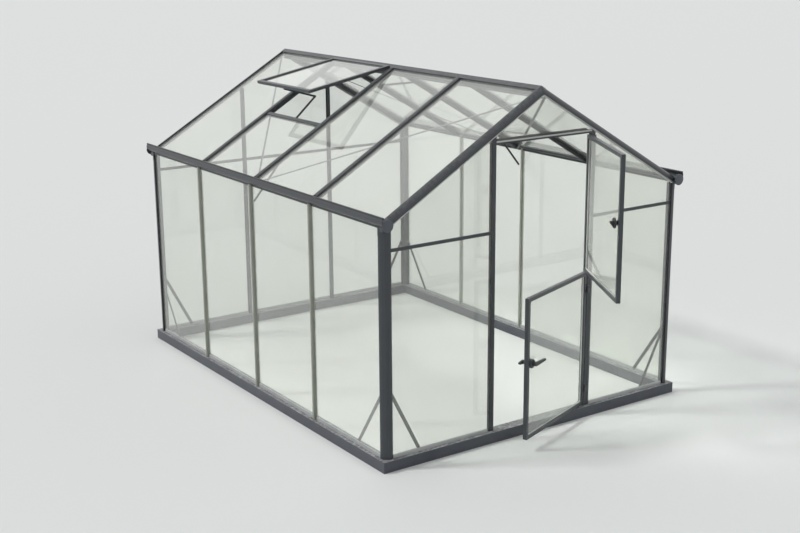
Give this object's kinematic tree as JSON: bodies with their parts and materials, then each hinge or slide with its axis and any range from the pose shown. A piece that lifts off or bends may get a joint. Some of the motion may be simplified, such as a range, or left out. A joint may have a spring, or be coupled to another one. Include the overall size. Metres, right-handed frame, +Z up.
{
  "type": "glass greenhouse",
  "caption": "Glazed greenhouse on a low base frame with a pitched roof, side gutters, a stable-type door in two leaves and one roof vent propped open.",
  "frame": {"origin": "on the ground under the middle of the front gable's outer face", "axes": "+X to the right seen from the front gable, +Y from the front gable to the back, +Z up"},
  "size_m": [2.34, 3.7816, 2.1459],
  "materials": {
    "profiles": "anthracite powder coat, fine satin",
    "base": "anthracite powder coat, fine satin",
    "braces": "anthracite powder coat on flat strip",
    "glazing_rail": "anthracite powder coat, a little lighter",
    "caps": "black moulded plastic",
    "grips": "black moulded plastic",
    "glass": "clear toughened glass, faint green"
  },
  "bodies": {
    "house": {"back_bars": "profiles", "back_transom": "profiles", "base_back": "base", "base_front": "base", "base_left": "base", "base_right": "base", "corner_braces": "braces", "door_head": "profiles", "door_jamb_left": "profiles", "door_jamb_right": "profiles", "front_transoms": "profiles", "glass_back": "glass", "glass_front": "glass", "glass_left": "glass", "glass_right": "glass", "glass_roof_left": "glass", "glass_roof_right": "glass", "gutter_end_caps": "caps", "gutter_left": "profiles", "gutter_right": "profiles", "jamb_hinges": "profiles", "middle_ties": "braces", "post_back_left": "profiles", "post_back_right": "profiles", "post_front_left": "profiles", "post_front_right": "profiles", "rafter_back_left": "profiles", "rafter_back_right": "profiles", "rafter_front_left": "profiles", "rafter_front_right": "profiles", "ridge": "profiles", "roof_bars_left": "profiles", "roof_bars_right": "profiles", "side_bars_left": "profiles", "side_bars_right": "profiles", "sill_rails": "glazing_rail", "vent_frame": "profiles", "vent_glass": "glass", "vent_opener": "braces", "vent_sill": "profiles", "wind_braces": "braces"},
    "lower_leaf": {"lower_leaf_frame": "profiles", "lower_leaf_glass": "glass", "lower_leaf_fittings": "profiles"},
    "upper_leaf": {"upper_leaf_frame": "profiles", "upper_leaf_glass": "glass", "upper_leaf_fittings": "profiles"},
    "lever": {"lever_handle": "grips"},
    "knob": {"turn_knob": "grips"}
  },
  "joints": [
    {"name": "lower_leaf_swing", "type": "hinge", "parent": "house", "child": "lower_leaf", "pos_m": [0.3895, 0, 0.52], "axis": [0, 0, 1], "range_deg": [-20.5, 144.5]},
    {"name": "upper_leaf_swing", "type": "hinge", "parent": "house", "child": "upper_leaf", "pos_m": [0.3895, 0, 1.41], "axis": [0, 0, 1], "range_deg": [-62.5, 102.5]},
    {"name": "lever_turn", "type": "hinge", "parent": "lower_leaf", "child": "lever", "pos_m": [-0.25684, -0.2187, 0.548], "axis": [-0.3502, 0.9367, 0], "range_deg": [0, 90]},
    {"name": "knob_turn", "type": "hinge", "parent": "upper_leaf", "child": "knob", "pos_m": [0.05552, -0.59501, 1.428], "axis": [-0.887, 0.4617, 0], "range_deg": [0, 90]}
  ]
}
